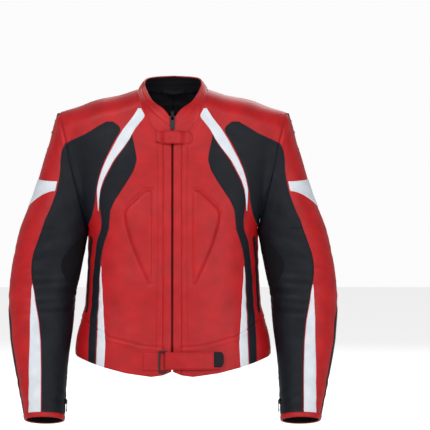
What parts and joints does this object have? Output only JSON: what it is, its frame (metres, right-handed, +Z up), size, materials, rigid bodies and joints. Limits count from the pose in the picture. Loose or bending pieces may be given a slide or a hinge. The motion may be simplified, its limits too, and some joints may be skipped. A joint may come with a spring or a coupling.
{
  "type": "leather riding jacket",
  "caption": "Short leather riding jacket with stand collar, front zip, throat tab, waist strap, contrast panels and stripes, and sleeves that raise and bend.",
  "frame": {"origin": "middle of the neck opening, at the height where the collar meets the shoulder seams", "axes": "+Z up, -Y out of the jacket's front, +X towards the wearer's left sleeve"},
  "size_m": [0.6886, 0.2438, 0.7321],
  "materials": {
    "red_leather": "smooth finished cowhide",
    "black_leather": "smooth finished cowhide",
    "white_leather": "smooth finished cowhide",
    "black_textile": "woven stretch cloth and zip tape",
    "black_metal": "black enamelled zinc",
    "black_plastic": "moulded loop"
  },
  "bodies": {
    "torso": {"back_black": "black_leather", "back_pad": "red_leather", "back_panel": "red_leather", "back_shoulder_black": "black_leather", "back_stripe": "white_leather", "back_waist_stripe": "white_leather", "biceps_patches": "white_leather", "cap_black": "black_leather", "cap_red": "red_leather", "chest_black": "black_leather", "chest_pads": "red_leather", "chest_stripe": "white_leather", "collar": "red_leather", "front_hem_band_left": "red_leather", "front_hem_band_right": "red_leather", "front_panel_left": "red_leather", "front_panel_right": "red_leather", "hanger_loop": "black_textile", "placket_left": "red_leather", "placket_right": "red_leather", "pocket_zips": "black_textile", "shoulder_black": "black_leather", "shoulder_fold_left": "black_textile", "shoulder_fold_right": "black_textile", "shoulder_yokes": "red_leather", "side_panels": "red_leather", "strap_keeper": "red_leather", "strap_loop": "black_plastic", "waist_stripe": "white_leather", "zip_chain": "black_metal", "zip_tape": "black_textile"},
    "forearm_left": {"cuff_band_left": "red_leather", "cuff_zip_left": "black_textile", "forearm_back_left": "black_leather", "forearm_black_left": "black_leather", "forearm_red_left": "red_leather", "forearm_stripe_left": "white_leather"},
    "forearm_right": {"cuff_band_right": "red_leather", "cuff_zip_right": "black_textile", "forearm_back_right": "black_leather", "forearm_black_right": "black_leather", "forearm_red_right": "red_leather", "forearm_stripe_right": "white_leather"},
    "cuff_slider_left": {"cuff_slider_left": "black_metal"},
    "cuff_slider_right": {"cuff_slider_right": "black_metal"},
    "upper_arm_left": {"elbow_gusset_left": "black_textile", "upper_sleeve_back_left": "black_leather", "upper_sleeve_black_left": "black_leather", "upper_sleeve_red_left": "red_leather"},
    "upper_arm_right": {"elbow_gusset_right": "black_textile", "upper_sleeve_back_right": "black_leather", "upper_sleeve_black_right": "black_leather", "upper_sleeve_red_right": "red_leather"},
    "pocket_slider_left": {"pocket_slider_left": "black_metal"},
    "pocket_slider_right": {"pocket_slider_right": "black_metal"},
    "waist_strap": {"strap_end_patch": "black_leather", "waist_strap": "red_leather"},
    "throat_tab": {"throat_tab": "red_leather"},
    "zip_pull": {"zip_pull": "black_metal"},
    "zip_slider": {"zip_slider": "black_metal"}
  },
  "joints": [
    {"name": "main_zip_slide", "type": "slide", "parent": "torso", "child": "zip_slider", "axis": [0, -0.0708, -0.9975], "range_m": [0, 0.44]},
    {"name": "main_zip_pull", "type": "hinge", "parent": "zip_slider", "child": "zip_pull", "pos_m": [0, -0.08561, -0.03763], "axis": [-1, 0, 0], "range_deg": [0, 150]},
    {"name": "throat_tab_peel", "type": "hinge", "parent": "torso", "child": "throat_tab", "pos_m": [0.042, -0.0863, -0.0827], "axis": [0, 0.0708, 0.9975], "range_deg": [0, 120]},
    {"name": "waist_strap_peel", "type": "hinge", "parent": "torso", "child": "waist_strap", "pos_m": [-0.0125, -0.1233, -0.54], "axis": [0, -0.0708, -0.9975], "range_deg": [0, 150]},
    {"name": "sleeve_raise_left", "type": "hinge", "parent": "torso", "child": "upper_arm_left", "pos_m": [0.262, 0.004, -0.235], "axis": [0, -1, 0], "range_deg": [0, 50], "deforming": ["shoulder_fold_left"]},
    {"name": "elbow_bend_left", "type": "hinge", "parent": "upper_arm_left", "child": "forearm_left", "pos_m": [0.275, -0.003, -0.405], "axis": [-1, 0, 0], "range_deg": [0, 70], "deforming": ["elbow_gusset_left"]},
    {"name": "pocket_zip_slide_left", "type": "slide", "parent": "torso", "child": "pocket_slider_left", "axis": [0.0751, -0.0375, -0.9965], "range_m": [0, 0.12]},
    {"name": "cuff_zip_slide_left", "type": "slide", "parent": "forearm_left", "child": "cuff_slider_left", "axis": [-0.0486, 0.2884, 0.9563], "range_m": [0, 0.055]},
    {"name": "sleeve_raise_right", "type": "hinge", "parent": "torso", "child": "upper_arm_right", "pos_m": [-0.262, 0.004, -0.235], "axis": [0, 1, 0], "range_deg": [0, 50], "deforming": ["shoulder_fold_right"]},
    {"name": "elbow_bend_right", "type": "hinge", "parent": "upper_arm_right", "child": "forearm_right", "pos_m": [-0.275, -0.003, -0.405], "axis": [-1, 0, 0], "range_deg": [0, 70], "deforming": ["elbow_gusset_right"]},
    {"name": "pocket_zip_slide_right", "type": "slide", "parent": "torso", "child": "pocket_slider_right", "axis": [-0.0751, -0.0375, -0.9965], "range_m": [0, 0.12]},
    {"name": "cuff_zip_slide_right", "type": "slide", "parent": "forearm_right", "child": "cuff_slider_right", "axis": [0.0486, 0.2884, 0.9563], "range_m": [0, 0.055]}
  ]
}
